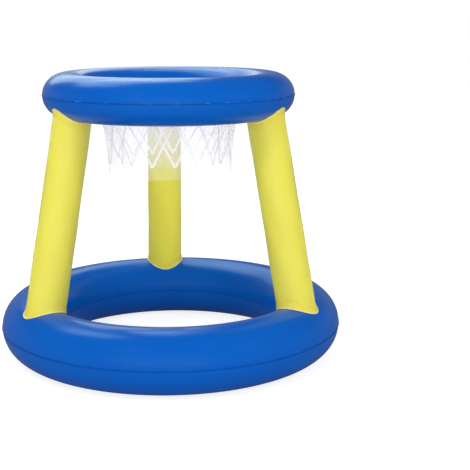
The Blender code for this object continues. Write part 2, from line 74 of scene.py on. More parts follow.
# The patterns in vinyl, each as the scale and the detail of its noise
VINYL_CLOUD = (7.0, 3.0)
VINYL_HAZE = (45.0, 4.0)
VINYL_FINE_PEEL = (1400.0, 2.0)
VINYL_PEEL = (160.0, 2.0)
VINYL_SWELL = (11.0, 1.0)
FLECK_PATTERN = (110.0, 2.0)
VINYL_HAZE_SPREAD = 0.10
VINYL_FINE_PEEL_DEPTH = 0.000008
VINYL_PEEL_DEPTH = 0.00003
FLECK_REACH = 0.0022
FLECK_FAINT = 0.52
FLECK_FULL = 0.68
SHEET = 0.0003
WELD_GAP = 0.0003
WELD_LIP = 0.0007
LIP_ROOM = 0.0015
NIP = 0.0003
NIP_REACH = 0.0030
PUCKER = 0.0010
PUCKER_REACH = 0.011
PUCKER_WANDER = ((2.5, 5), (1.7, 13))
PUCKER_PATCHES = 7
PUCKER_PATCH_WANDER = ((2.0, 3),)
PUCKER_LEAST = 0.1
INNER_WELD_SLACK = 0.4
SHEET_SMOOTH_DEG = 40
RING_TURNS = 320
RING_SIDES = 80
FLOAT_TUBE_WIDTH = 0.112
FLOAT_PUCKERS = 74
FLOAT_HIGHLIGHT_FLECKS = 0.0


class Shade:
    """A shader socket: arithmetic on it adds Math nodes, and node() adds any other kind of node."""

    def __init__(self, tree, socket=None):
        self.tree = tree
        self.socket = socket

    def node(self, kind, settings, values, output=0):
        made = self.tree.nodes.new(kind)
        for name, setting in settings.items():
            if name == "stops":
                while len(made.color_ramp.elements) < len(setting):
                    made.color_ramp.elements.new(1.0)
                for element, (place, grey) in zip(made.color_ramp.elements, setting):
                    element.position = place
                    element.color = (grey, grey, grey, 1.0)
            else:
                setattr(made, name, setting)
        for name, value in values.items():
            if isinstance(value, Shade):
                self.tree.links.new(value.socket, made.inputs[name])
            else:
                made.inputs[name].default_value = value
        return Shade(self.tree, made.outputs[output])

    def math(self, operation, first, second):
        return self.node("ShaderNodeMath", {"operation": operation}, {0: first, 1: second})

    def __add__(self, other):
        return self.math("ADD", self, other)

    def __sub__(self, other):
        return self.math("SUBTRACT", self, other)

    def __rsub__(self, other):
        return self.math("SUBTRACT", other, self)

    def __mul__(self, other):
        return self.math("MULTIPLY", self, other)

    __radd__ = __add__
    __rmul__ = __mul__


def new_material(name):
    """A material, its Principled shader's sockets, and a Shade that adds nodes beside it."""
    material = bpy.data.materials.new(name)
    material.use_nodes = True
    tree = material.node_tree
    return material, tree.nodes["Principled BSDF"].inputs, Shade(tree)


def feed(start, socket, value):
    """Link a value to a socket of the material's own shader."""
    start.tree.links.new(value.socket, socket)


def mix_colour(start, share, first, second):
    """A colour between two others, by a share."""
    first, second = [side if isinstance(side, Shade) else (*side, 1.0) for side in (first, second)]
    sides = {0: share, 6: first, 7: second}
    return start.node("ShaderNodeMix", {"data_type": "RGBA"}, sides, output=2)


def noise(start, place, pattern, output="Fac"):
    """Noise of a scale and a detail."""
    scale, detail = pattern
    return start.node("ShaderNodeTexNoise", {}, {"Vector": place, "Scale": scale, "Detail": detail}, output)


def fade(start, value, low, high, first=0.0, last=1.0, shape="LINEAR"):
    """A share that runs from first to last while a value runs from low to high."""
    limits = {"Value": value, "From Min": low, "From Max": high, "To Min": first, "To Max": last}
    return start.node("ShaderNodeMapRange", {"interpolation_type": shape}, limits)


def emboss(start, sockets, height):
    """Raise and lower a surface by a height in metres."""
    bump = start.node("ShaderNodeBump", {}, {"Strength": 1.0, "Distance": 1.0, "Height": height})
    feed(start, sockets["Normal"], bump)


def vinyl(name, colour, deep_colour, roughness, gloss, swell):
    """Calendered vinyl sheet: a fine orange peel, slow swells from blowing up, and a slightly cloudy colour."""
    material, sockets, start = new_material(name)
    place = start.node("ShaderNodeTexCoord", {}, {}, "Object")
    sheet_colour = mix_colour(start, noise(start, place, VINYL_CLOUD), deep_colour, colour)
    feed(start, sockets["Base Color"], sheet_colour)
    haze = noise(start, place, VINYL_HAZE) * VINYL_HAZE_SPREAD
    feed(start, sockets["Roughness"], haze + (roughness - VINYL_HAZE_SPREAD / 2))
    sockets["Specular IOR Level"].default_value = gloss
    fine_peel = noise(start, place, VINYL_FINE_PEEL) * VINYL_FINE_PEEL_DEPTH
    peel = fine_peel + noise(start, place, VINYL_PEEL) * VINYL_PEEL_DEPTH
    emboss(start, sockets, peel + noise(start, place, VINYL_SWELL) * swell)
    return material, sockets, start, sheet_colour


def weld_highlight_flecks(start, sheet_colour, seam, flecks):
    """The sheet's colour, with flecks of painted highlight beside the outer weld, where the puckers catch the light.
    """
    place = start.node("ShaderNodeTexCoord", {}, {}, "Object")
    level = start.node("ShaderNodeSeparateXYZ", {}, {0: place}, "Z")
    beside = fade(start, level, seam + FLECK_REACH / 2, seam + FLECK_REACH, 1.0, 0.0)
    strong = fade(start, noise(start, place, FLECK_PATTERN), FLECK_FAINT, FLECK_FULL)
    return mix_colour(start, beside * strong * flecks, sheet_colour, WELD_HIGHLIGHT_BLUE)


def pick(pieces):
    """Select these pieces alone, and make the first one active."""
    bpy.ops.object.select_all(action="DESELECT")
    for piece in pieces:
        piece.select_set(True)
    bpy.context.view_layer.objects.active = pieces[0]


def to_mesh_place(piece):
    """Put a piece's place into its mesh, so that its object sits at the origin."""
    pick([piece])
    bpy.ops.object.transform_apply(location=True, rotation=True, scale=True)


def solidify(piece, thickness, offset):
    """Give a sheet its thickness."""
    bpy.context.view_layer.objects.active = piece
    wall = piece.modifiers.new("wall", "SOLIDIFY")
    wall.thickness = thickness
    wall.offset = offset
    wall.use_even_offset = True
    bpy.ops.object.modifier_apply(modifier="wall")


def smooth_below(angle_deg):
    """Shade the selected piece smooth, apart from edges that turn by more than an angle."""
    bpy.ops.object.shade_smooth_by_angle(angle=math.radians(angle_deg))


def select_where(piece, wanted):
    """In edit mode, select the points that a test picks, and the edges between them."""
    mesh = bmesh.from_edit_mesh(piece.data)
    bpy.ops.mesh.select_all(action="DESELECT")
    for point in mesh.verts:
        point.select_set(wanted(point))
    mesh.select_flush(True)
    bmesh.update_edit_mesh(piece.data)


def uneven_wave(turn, times, wander=(), shift=0.0):
    """A wave round a tube; each (swing, times) pair makes its spacing wander, so that no two puckers match."""
    return math.sin(times * turn + sum(swing * math.sin(often * turn) for swing, often in wander) + shift)


def patch(least, wave):
    """How strong puckers are where a wave stands, from least to 1."""
    return (1 + least) / 2 + (1 - least) / 2 * wave


def fall_off(distance, reach):
    """How much of a weld's pull is left at a distance."""
    return math.exp(-(distance / reach) ** 2)


def draw_in_at_welds(sheet, middle, half_width, half_height, seam, puckers):
    """Nip the sheet in beside its welds and pucker it there, mostly on the outside, where it has slack."""
    for point in sheet.data.vertices:
        radius, turn = math.hypot(point.co.x, point.co.y), math.atan2(point.co.y, point.co.x)
        across, up = (radius - middle) / half_width, (point.co.z - seam) / half_height
        reach = math.hypot(across, up)
        if reach > 1.0 + WELD_LIP / half_width / 2:
            continue
        run = math.atan2(abs(up), abs(across)) * half_width
        slack = 1.0 if across > 0 else INNER_WELD_SLACK
        slack *= patch(PUCKER_LEAST, uneven_wave(turn, PUCKER_PATCHES, PUCKER_PATCH_WANDER))
        depth = NIP * fall_off(run, NIP_REACH)
        depth += PUCKER * slack * patch(0.0, uneven_wave(turn, puckers, PUCKER_WANDER)) * fall_off(run, PUCKER_REACH)
        point.co.x -= math.cos(turn) * depth * across / reach
        point.co.y -= math.sin(turn) * depth * across / reach
        point.co.z -= depth * up / reach


def ring_sheet(name, middle, half_width, half_height, seam, side, puckers):
    """Half of a blown-up ring: side 1 is the upper sheet, side -1 the lower one."""
    bpy.ops.object.select_all(action="DESELECT")
    bpy.ops.mesh.primitive_torus_add(major_segments=RING_TURNS, minor_segments=RING_SIDES,
                                     major_radius=middle, minor_radius=half_width, location=(0, 0, seam))
    sheet = bpy.context.object
    sheet.name = name
    to_mesh_place(sheet)
    outside = middle + half_width
    inside = middle - half_width
    cut = seam + side * (WELD_GAP / 2 + SHEET)
    bpy.ops.object.mode_set(mode="EDIT")
    bpy.ops.mesh.select_all(action="SELECT")
    bpy.ops.transform.resize(value=(1, 1, half_height / half_width), center_override=(0, 0, seam))
    bpy.ops.mesh.bisect(plane_co=(0, 0, cut), plane_no=(0, 0, side), clear_inner=True)
    for edge, lip in ((outside, outside + WELD_LIP), (inside, inside - WELD_LIP)):
        select_where(sheet, lambda point: point.is_boundary and abs(point.co.xy.length - edge) < WELD_LIP / 4)
        bpy.ops.mesh.extrude_edges_move(TRANSFORM_OT_translate={"value": (0, 0, 0)})
        bpy.ops.transform.resize(value=(lip / edge, lip / edge, 1), center_override=(0, 0, cut))
    bpy.ops.object.mode_set(mode="OBJECT")
    draw_in_at_welds(sheet, middle, half_width, half_height, seam, puckers)
    for point in sheet.data.vertices:
        point.co.z = max(point.co.z, 0.0)
    solidify(sheet, SHEET, -1.0)
    smooth_below(SHEET_SMOOTH_DEG)
    return sheet


def blown_up_ring(label, tube_width, puckers, flecks):
    """Both sheets of a ring, in the place of its two CAD skins."""
    lower_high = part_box(label + "_ring_lower_skin")[1]
    upper_low, upper_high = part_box(label + "_ring_upper_skin")
    seam = (lower_high.z + upper_low.z) / 2
    middle = upper_high.x - LIP_ROOM - tube_width / 2
    height = upper_high.z - seam
    made = []
    for layer, side in (("upper", 1), ("lower", -1)):
        sheet = ring_sheet(f"{label}_ring_{layer}", middle, tube_width / 2, height, seam, side, puckers)
        material, sockets, start, sheet_colour = vinyl(sheet.name + "_vinyl", BLUE, DEEP_BLUE,
                                                       BLUE_ROUGHNESS, BLUE_GLOSS, BLUE_SWELL)
        sockets["Specular Tint"].default_value = BLUE_SHEEN
        # Flecks of painted highlight by the upper sheet's outer weld
        if flecks and layer == "upper":
            feed(start, sockets["Base Color"], weld_highlight_flecks(start, sheet_colour, seam, flecks))
        sheet.data.materials.append(material)
        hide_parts(f"{label}_ring_{layer}_skin")
        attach(sheet, "root")
        made.append(sheet)
    return made


float_upper = blown_up_ring("float", FLOAT_TUBE_WIDTH, FLOAT_PUCKERS, FLOAT_HIGHLIGHT_FLECKS)[0]

# The hoop ring, two smaller sheets of the same vinyl, welded and blown up in the same way. The net film is
# welded in with its inner weld, and flecks of painted highlight run along its outer weld.
HOOP_TUBE_WIDTH = 0.084
HOOP_PUCKERS = 62
HOOP_HIGHLIGHT_FLECKS = 0.55
hoop_upper, hoop_lower = blown_up_ring("hoop", HOOP_TUBE_WIDTH, HOOP_PUCKERS, HOOP_HIGHLIGHT_FLECKS)

# The legs. Each is a tube of yellow vinyl, closed down its outer side by a fin weld. Both ends flare into a
# weld fin that lies on the ring, over a disc that closes the tube; the discs at the top have an air port.
YELLOW = (0.775, 0.745, 0.104)
DEEP_YELLOW = (0.745, 0.675, 0.078)
# A lighter yellow for the back leg alone: painted light, which brightens it where it stands in the rings' shade
BACK_LEG_PAINTED_LIGHT_YELLOW = (0.950, 0.870, 0.092)
# Painted light by the legs' end welds: a pale highlight on the fins, and a darker, more orange shade in a band above
# them
FIN_HIGHLIGHT_YELLOW = (0.860, 0.850, 0.420)
WELD_SHADE_YELLOW = (0.770, 0.630, 0.070)
YELLOW_ROUGHNESS = 0.34
YELLOW_GLOSS = 0.4
YELLOW_SWELL = 0.0006
# Each leg's place round the rings, and its two colours; the back leg has a lighter yellow, painted light for a leg
# that stands in the rings' shade
LEGS = {"left": (209.0, YELLOW, DEEP_YELLOW), "right": (331.0, YELLOW, DEEP_YELLOW),
        "back": (93.0, BACK_LEG_PAINTED_LIGHT_YELLOW, BACK_LEG_PAINTED_LIGHT_YELLOW)}
LEG_FOOT_OUTWARD = 0.006
LEG_FOOT_RADIUS = 0.0335
LEG_HEAD_RADIUS = 0.032
LEG_FIN = 0.003
FIN_LIFT = 0.0009
FIN_SPREADS = (0.0024, 0.0018, 0.0012)
# The flared wall above the fin, as pairs of height and spread
LEG_STEPS = ((0.0006, 0.0012), (0.0012, 0.0014), (0.0020, 0.0014), (0.0030, 0.0013), (0.0045, 0.0011),
             (0.0060, 0.0009), (0.0080, 0.0006), (0.0100, 0.0003), (0.0120, 0.0001), (0.0135, 0.0))
LEG_SIDES = 160
LEG_CUTS = 70
LEG_SMOOTH_DEG = 50
LEG_SEAM_HEIGHT = 0.0010
LEG_PUCKER = 0.0006
LEG_PUCKER_REACH = 0.014
LEG_PUCKERS = 23
LEG_PUCKER_WANDER = ((2, 4),)
LEG_PUCKER_PATCHES = 3
LEG_PUCKER_PATCH_SHIFT = 1.0
LEG_PUCKER_LEAST = 0.2
LEG_CREASE = 0.0005
LEG_CREASE_AT = 0.0135
LEG_CREASE_WIDTH = 0.0014
LEG_CREASE_SWAY = 0.002
LEG_CREASE_SWAYS = 2
LEG_CREASE_SWAY_SHIFT = 0.6
LEG_DENT = 0.0005
# Two waves that make the dents, as times round the leg and radians for each metre of its height
LEG_DENT_WAVES = ((3, 30.0), (2, 22.0))
# A painted shade band by a leg's end welds, and a painted highlight on its fins, as pairs of run and strength
RUN_REACH = 0.03
WELD_SHADE_SHARE = 0.6
WELD_SHADE_STOPS = ((0.0, 1.0), (0.25, 0.9), (LEG_CREASE_AT / RUN_REACH, 0.55), (LEG_CREASE_AT / RUN_REACH + 0.06, 0.0))
FIN_HIGHLIGHT_STOPS = ((0.0, 1.0), (0.03, 1.0), (0.09, 0.0), (1.0, 0.0))
DISC_LIFT = 0.0003
DISC_SIDES = 64
DISC_START = 0.005
DISC_BANDS = 6


def spread_loop(place, start, end, rise):
    """Extrude the selected loop, spread it from one radius to another, and raise it off the ring."""
    bpy.ops.mesh.extrude_edges_move(TRANSFORM_OT_translate={"value": (0, 0, 0)})
    bpy.ops.transform.translate(value=place.to_3x3() @ Vector((0, 0, rise)))
    bpy.ops.transform.resize(value=(end / start, end / start, 1), orient_type="LOCAL",
                             center_override=place.translation)


def loop_on_axis(name, place, radius, sides, fill="NOTHING"):
    """A circle square to a frame's Z axis, open in edit mode."""
    bpy.ops.object.select_all(action="DESELECT")
    bpy.ops.mesh.primitive_circle_add(vertices=sides, radius=radius, fill_type=fill,
                                      location=place.translation, rotation=place.to_euler())
    bpy.context.object.name = name
    bpy.ops.object.mode_set(mode="EDIT")
    return bpy.context.object


def lay_on(piece, ring, lift):
    """Drop a flat piece along its own Z axis onto a ring's sheet."""
    bpy.ops.object.mode_set(mode="OBJECT")
    fit = piece.modifiers.new("fit", "SHRINKWRAP")
    fit.target = ring
    fit.wrap_method = "PROJECT"
    fit.wrap_mode = "ABOVE_SURFACE"
    fit.use_project_z = True
    fit.use_positive_direction = False
    fit.use_negative_direction = True
    fit.offset = lift
    bpy.ops.object.modifier_apply(modifier="fit")


def face_outwards():
    """Turn all faces of the mesh in edit mode outwards, and leave edit mode."""
    bpy.ops.mesh.select_all(action="SELECT")
    bpy.ops.mesh.normals_make_consistent(inside=False)
    bpy.ops.object.mode_set(mode="OBJECT")


def joined(pieces, name):
    """One piece of several, in the first one's mesh."""
    pick(pieces)
    bpy.ops.object.join()
    pieces[0].name = name
    return pieces[0]


def leg_end(name, place, radius, ring):
    """One end of a leg: the fin on the ring, and the flared wall that rises from it."""
    end = loop_on_axis(name, place, radius + LEG_FIN, LEG_SIDES)
    last = radius + LEG_FIN
    for spread in FIN_SPREADS:
        spread_loop(place, last, radius + spread, 0.0)
        last = radius + spread
    lay_on(end, ring, FIN_LIFT)
    bpy.ops.object.mode_set(mode="EDIT")
    below = 0.0
    for rise, spread in LEG_STEPS:
        spread_loop(place, last, radius + spread, rise - below)
        last, below = radius + spread, rise
    bpy.ops.object.mode_set(mode="OBJECT")
    to_mesh_place(end)
    return end


def leg_disc(name, place, radius, ring, fill):
    """The disc that closes a leg's end, laid on the ring inside the fin's edge."""
    disc = loop_on_axis(name, place, DISC_START, DISC_SIDES, fill)
    select_where(disc, lambda point: point.co.length > DISC_START / 2)
    last = DISC_START
    for band in range(1, DISC_BANDS + 1):
        reach = DISC_START + (radius + LEG_FIN - DISC_START) * band / DISC_BANDS
        spread_loop(place, last, reach, 0.0)
        last = reach
    lay_on(disc, ring, DISC_LIFT)
    to_mesh_place(disc)
    bpy.ops.object.mode_set(mode="EDIT")
    face_outwards()
    solidify(disc, SHEET, 1.0)
    smooth_below(SHEET_SMOOTH_DEG)
    return disc


def leg_frames(azimuth_deg):
    """Frames a quarter of the leg above its foot and below its head: X outwards, Z along the leg to its middle."""
    radial = Vector((math.cos(math.radians(azimuth_deg)), math.sin(math.radians(azimuth_deg)), 0))
    float_low, float_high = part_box("float_ring_upper_skin")
    hoop_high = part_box("hoop_ring_lower_skin")[1]
    float_middle = float_high.x - LIP_ROOM - FLOAT_TUBE_WIDTH / 2
    hoop_middle = hoop_high.x - LIP_ROOM - HOOP_TUBE_WIDTH / 2
    low = radial * (float_middle + LEG_FOOT_OUTWARD) + Vector((0, 0, float_low.z))
    high = radial * hoop_middle + Vector((0, 0, hoop_high.z))
    up = (high - low).normalized()
    across = up.cross(radial).normalized()
    out = across.cross(up)
    foot = Matrix.Translation((low * 3 + high) / 4) @ Matrix((out, across, up)).transposed().to_4x4()
    head = Matrix.Translation((low + high * 3) / 4) @ Matrix((out, -across, -up)).transposed().to_4x4()
    return foot, head


def crease_leg(tube, foot, radius_at):
    """Raise the lengthwise weld, pucker the wall above its end welds and fold it once round each end."""
    to_leg = foot.inverted()
    step = math.tau / LEG_SIDES
    places = [to_leg @ point.co for point in tube.data.vertices]
    turns = [math.atan2(place.y, place.x) for place in places]
    keys = [round(turn / step) % LEG_SIDES for turn in turns]
    lows, highs = {}, {}
    for key, place in zip(keys, places):
        lows[key] = min(lows.get(key, place.z), place.z)
        highs[key] = max(highs.get(key, place.z), place.z)
    runs = tube.data.attributes.new("run_from_weld", "FLOAT", "POINT").data
    for point, key, place, turn, shown_run in zip(tube.data.vertices, keys, places, turns, runs):
        run = min(place.z - lows[key], highs[key] - place.z)
        shown_run.value = min(run / RUN_REACH, 1.0)
        if place.xy.length > radius_at(place.z) + LEG_FIN / 3:
            continue
        wave = uneven_wave(turn, LEG_PUCKERS, LEG_PUCKER_WANDER)
        wave *= patch(LEG_PUCKER_LEAST, uneven_wave(turn, LEG_PUCKER_PATCHES, shift=LEG_PUCKER_PATCH_SHIFT))
        depth = LEG_PUCKER * patch(0.0, wave) * fall_off(run, LEG_PUCKER_REACH)
        sway = LEG_CREASE_SWAY * uneven_wave(turn, LEG_CREASE_SWAYS, shift=LEG_CREASE_SWAY_SHIFT)
        crease = LEG_CREASE * patch(LEG_PUCKER_LEAST, uneven_wave(turn, LEG_PUCKER_PATCHES))
        depth += crease * fall_off(run - LEG_CREASE_AT - sway, LEG_CREASE_WIDTH)
        depth += LEG_DENT * math.prod(math.sin(times * turn + rate * place.z) for times, rate in LEG_DENT_WAVES)
        if key == 0:
            depth -= LEG_SEAM_HEIGHT
        place.xy *= 1 - depth / place.xy.length
        point.co = foot @ place


def leg_tube(side, foot, head):
    """A leg's tube: its two ends, bridged by a plain wall, then creased."""
    half_way = (head.translation - foot.translation).length / 2
    to_foot = foot.inverted()

    def radius_at(height):
        return LEG_FOOT_RADIUS if height < half_way else LEG_HEAD_RADIUS

    def is_open_loop(point):
        place = to_foot @ point.co
        return point.is_boundary and place.xy.length < radius_at(place.z) + LEG_FIN / 2

    lower_end = leg_end(side + "_leg", foot, LEG_FOOT_RADIUS, float_upper)
    upper_end = leg_end(side + "_leg_head", head, LEG_HEAD_RADIUS, hoop_lower)
    tube = joined([lower_end, upper_end], side + "_leg")
    bpy.ops.object.mode_set(mode="EDIT")
    select_where(tube, is_open_loop)
    bpy.ops.mesh.bridge_edge_loops(number_cuts=LEG_CUTS, interpolation="LINEAR")
    face_outwards()
    crease_leg(tube, foot, radius_at)
    solidify(tube, SHEET, -1.0)
    smooth_below(LEG_SMOOTH_DEG)
    return tube


def painted_shade_and_fin_highlight(start, sheet_colour):
    """The sheet's colour, darkened by a painted shade band along the end welds and lit by a painted highlight on the
    fins.
    """
    run = start.node("ShaderNodeAttribute", {"attribute_name": "run_from_weld"}, {}, "Fac")
    band = start.node("ShaderNodeValToRGB", {"stops": WELD_SHADE_STOPS}, {"Fac": run}, "Color")
    fin = start.node("ShaderNodeValToRGB", {"stops": FIN_HIGHLIGHT_STOPS}, {"Fac": run}, "Color")
    weld_shaded = mix_colour(start, band * WELD_SHADE_SHARE, sheet_colour, WELD_SHADE_YELLOW)
    return mix_colour(start, fin, weld_shaded, FIN_HIGHLIGHT_YELLOW)


for side, (azimuth_deg, colour, deep_colour) in LEGS.items():
    foot, head = leg_frames(azimuth_deg)
    tube = leg_tube(side, foot, head)
    foot_disc = leg_disc(side + "_leg_foot_seal", foot, LEG_FOOT_RADIUS, float_upper, "TRIFAN")
    head_disc = leg_disc(side + "_leg_head_seal", head, LEG_HEAD_RADIUS, hoop_lower, "NOTHING")
    for piece, node in ((tube, "tube"), (foot_disc, "foot_disc"), (head_disc, "head_disc")):
        material, sockets, start, sheet_colour = vinyl(piece.name + "_vinyl", colour, deep_colour,
                                                       YELLOW_ROUGHNESS, YELLOW_GLOSS, YELLOW_SWELL)
        # The tube gets its painted shade band by the end welds and its painted highlight on the fins
        if piece is tube:
            feed(start, sockets["Base Color"], painted_shade_and_fin_highlight(start, sheet_colour))
        piece.data.materials.append(material)
        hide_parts(f"{side}_leg_{node}")
        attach(piece, "root")

# The net film: a clear sheet welded in at the hoop ring's inner seam. It hangs free below, gathered a little
# under the weld and folded in at two places, and keeps the fine crinkles of its packing.
FILM_THICKNESS = 0.0002
FILM_DROP = 0.1435
FILM_TOP_RADIUS = 0.13825
FILM_HEM_RADIUS = 0.1115
FILM_FLARE_POWER = 2.6
FILM_DRAW_IN = 0.001
FILM_FOLD_AZIMUTHS_DEG = (210.0, 330.0)
FILM_FOLD_DEPTH = 0.016
FILM_FOLD_HALF_DEG = 22.0
FILM_FOLD_POWER = 1.2
FILM_FOLD_FULLNESS = 0.5
FILM_RIPPLE = 0.0016
FILM_RIPPLES = 9
FILM_RIPPLE_WANDER = ((1.3, 2),)
FILM_SMALL_RIPPLE = 0.0008
FILM_SMALL_RIPPLES = 20
FILM_SMALL_RIPPLE_SHIFT = 2.0
FILM_SMALL_RIPPLE_LEAN = 5
FILM_GATHER = 0.0007
FILM_GATHERS = 54
FILM_GATHER_WANDER = ((3, 7),)
FILM_GATHER_REACH = 0.012
FILM_WELD_HOLD = 0.003
FILM_HEM_WAVE = 0.0012
FILM_HEM_WAVES = 5
FILM_HEM_WAVE_SHIFT = 0.7
FILM_FRONT_LIFT = 0.006
FILM_SIDES = 432
FILM_ROWS = 36
FILM_SMOOTH_DEG = 60
FILM_CLEAR = (0.95, 0.95, 1.0)
# A darker lavender for the film's creases: painted shade in them
FILM_CREASE_SHADE = (0.76, 0.74, 0.90)
# The film glows faintly though it is no lamp: painted light that brightens it
FILM_GLOW_TINT = (0.82, 0.80, 1.0, 1.0)
FILM_PAINTED_GLOW = 0.20
FILM_ROUGHNESS = 0.10
FILM_ROUGHNESS_SPREAD = 0.12
# How much of the film shows: everywhere, edge on, in crinkles, in creases, and in the haze near the top
FILM_SHOWS = 0.02
FILM_EDGE_SHOWS = 0.18
FILM_CRINKLE_SHOWS = 0.05
FILM_CREASE_SHOWS = 0.12
FILM_HAZE_SHOWS = 0.24
FILM_EDGE_BLEND = 0.35
FILM_CRINKLE = (38.0, 5.0)
FILM_SWAY = (30.0, 4.0)
FILM_SWAY_REACH = (0.03, 0.03, 0.03)
FILM_CREASE_SCALE = 55.0
FILM_CREASE_WIDTH = 0.06
FILM_CREASE_DEPTH = 0.0004
# Patches where the creases show, in relief, in opacity and in painted shade
FILM_CREASE_PATCHES = (14.0, 2.0)
FILM_CREASE_PATCHES_FAINT = 0.45
FILM_CREASE_PATCHES_FULL = 0.65
FILM_FINE_FOLD = (60.0, 6.0)
FILM_FINE_FOLD_DEPTH = 0.0006
FILM_SOFT_FOLD = (19.0, 2.0)
FILM_SOFT_FOLD_DEPTH = 0.0015
film_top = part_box("net_film")[1].z


def film_place(turn, drop):
    """A point of the film: it narrows to the hem, folds in at two places and ripples in between."""
    share = min(drop / FILM_DROP, 1.0)
    radius = FILM_HEM_RADIUS + (FILM_TOP_RADIUS - FILM_HEM_RADIUS) * (1 - share) ** FILM_FLARE_POWER
    for fold_deg in FILM_FOLD_AZIMUTHS_DEG:
        away = abs((turn - math.radians(fold_deg) + math.pi) % math.tau - math.pi)
        near = max(0.0, 1.0 - away / math.radians(FILM_FOLD_HALF_DEG))
        fullness = 1 + FILM_FOLD_FULLNESS * (1 - near)
        radius -= FILM_FOLD_DEPTH * share * near ** FILM_FOLD_POWER * fullness
    lean = FILM_SMALL_RIPPLE_SHIFT + FILM_SMALL_RIPPLE_LEAN * share
    ripple = FILM_RIPPLE * uneven_wave(turn, FILM_RIPPLES, FILM_RIPPLE_WANDER)
    ripple += FILM_SMALL_RIPPLE * uneven_wave(turn, FILM_SMALL_RIPPLES, shift=lean)
    gather = FILM_GATHER * uneven_wave(turn, FILM_GATHERS, FILM_GATHER_WANDER)
    gather *= math.exp(-drop / FILM_GATHER_REACH) * min(1.0, drop / FILM_WELD_HOLD)
    radius += (ripple - FILM_DRAW_IN) * share + gather
    hem = FILM_HEM_WAVE * uneven_wave(turn, FILM_HEM_WAVES, shift=FILM_HEM_WAVE_SHIFT)
    hem += FILM_FRONT_LIFT * max(0.0, -math.sin(turn))
    return Vector((radius * math.cos(turn), radius * math.sin(turn), film_top - drop + hem * share))


bpy.ops.object.select_all(action="DESELECT")
bpy.ops.mesh.primitive_circle_add(vertices=FILM_SIDES, radius=FILM_TOP_RADIUS, location=(0, 0, film_top))
film = bpy.context.object
film.name = "hanging_net_film"
to_mesh_place(film)
bpy.ops.object.mode_set(mode="EDIT")
bpy.ops.mesh.select_all(action="SELECT")
for row in range(FILM_ROWS):
    bpy.ops.mesh.extrude_edges_move(TRANSFORM_OT_translate={"value": (0, 0, -FILM_DROP / FILM_ROWS)})
face_outwards()
for point in film.data.vertices:
    point.co = film_place(math.atan2(point.co.y, point.co.x), max(0.0, film_top - point.co.z))
solidify(film, FILM_THICKNESS, -1.0)
smooth_below(FILM_SMOOTH_DEG)

film_material, sockets, start = new_material("clear_film")
place = start.node("ShaderNodeTexCoord", {}, {}, "Object")
level = start.node("ShaderNodeSeparateXYZ", {}, {0: place}, "Z")
edge_on = start.node("ShaderNodeLayerWeight", {}, {"Blend": FILM_EDGE_BLEND}, "Facing")
haze = fade(start, level, film_top - FILM_DROP, film_top)
crinkle = noise(start, place, FILM_CRINKLE)
sway = noise(start, place, FILM_SWAY, "Color")
bent = start.node("ShaderNodeVectorMath", {"operation": "MULTIPLY_ADD"}, {0: sway, 1: FILM_SWAY_REACH, 2: place})
cells = start.node("ShaderNodeTexVoronoi", {"feature": "DISTANCE_TO_EDGE"},
                   {"Vector": bent, "Scale": FILM_CREASE_SCALE}, "Distance")
patchy = fade(start, noise(start, place, FILM_CREASE_PATCHES), FILM_CREASE_PATCHES_FAINT, FILM_CREASE_PATCHES_FULL)
crease = fade(start, cells, 0.0, FILM_CREASE_WIDTH, 1.0, 0.0) * patchy
# The creases take a darker lavender: painted shade in them, while their relief and opacity are the film's own
feed(start, sockets["Base Color"], mix_colour(start, crease, FILM_CLEAR, FILM_CREASE_SHADE))
feed(start, sockets["Roughness"], crinkle * FILM_ROUGHNESS_SPREAD + FILM_ROUGHNESS)
feed(start, sockets["Alpha"], edge_on * FILM_EDGE_SHOWS + crinkle * FILM_CRINKLE_SHOWS
     + crease * FILM_CREASE_SHOWS + haze * FILM_HAZE_SHOWS + FILM_SHOWS)
fine_fold = noise(start, place, FILM_FINE_FOLD) * FILM_FINE_FOLD_DEPTH
soft_fold = noise(start, place, FILM_SOFT_FOLD) * FILM_SOFT_FOLD_DEPTH
emboss(start, sockets, fine_fold + soft_fold - crease * FILM_CREASE_DEPTH)
# A faint glow: painted light on the film
sockets["Emission Color"].default_value = FILM_GLOW_TINT
sockets["Emission Strength"].default_value = FILM_PAINTED_GLOW
film.data.materials.append(film_material)
film.visible_shadow = False
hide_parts("net_film")
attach(film, "root")

# The printed net: white ink on the film's outer face, in three rows of diamonds with open points below.
# It is printed as two sets of slanting strands that cross, so the second set lies a little higher.
NET_COLUMNS = 18
NET_ROWS = 3
NET_STRAND = 0.0037
NET_LIFTS = {1: 0.0003, -1: 0.0006}
NET_CLEAR_TOP = 0.004
NET_CLEAR_HEM = 0.0225
NET_TURN_DEG = 4.4
NET_SLIP = 0.065
STRAND_STEPS = 60
STRAND_WIDTH_STEPS = 3
# Small steps over the film, round it and down it, that find how it faces and which way a strand runs
LOOK_ROUND = 0.01
LOOK_DOWN = 0.001
LOOK_AHEAD = 0.01
INK_THICKNESS = 0.0002
INK_GRAIN = (900.0, 3.0)
INK_GRAIN_DEPTH = 0.00003
INK_THIN = (0.92, 0.92, 0.96)
INK_FULL = (0.97, 0.97, 0.99)
INK_ROUGHNESS = 0.4
INK_ROUGHNESS_SPREAD = 0.2
INK_COVER = 0.62
# The ink glows faintly though it is no lamp: painted light that brightens it
INK_GLOW_TINT = (0.90, 0.85, 1.0, 1.0)
INK_PAINTED_GLOW = 0.12
net_fall = FILM_DROP - NET_CLEAR_TOP - NET_CLEAR_HEM
column_turn = math.tau / NET_COLUMNS


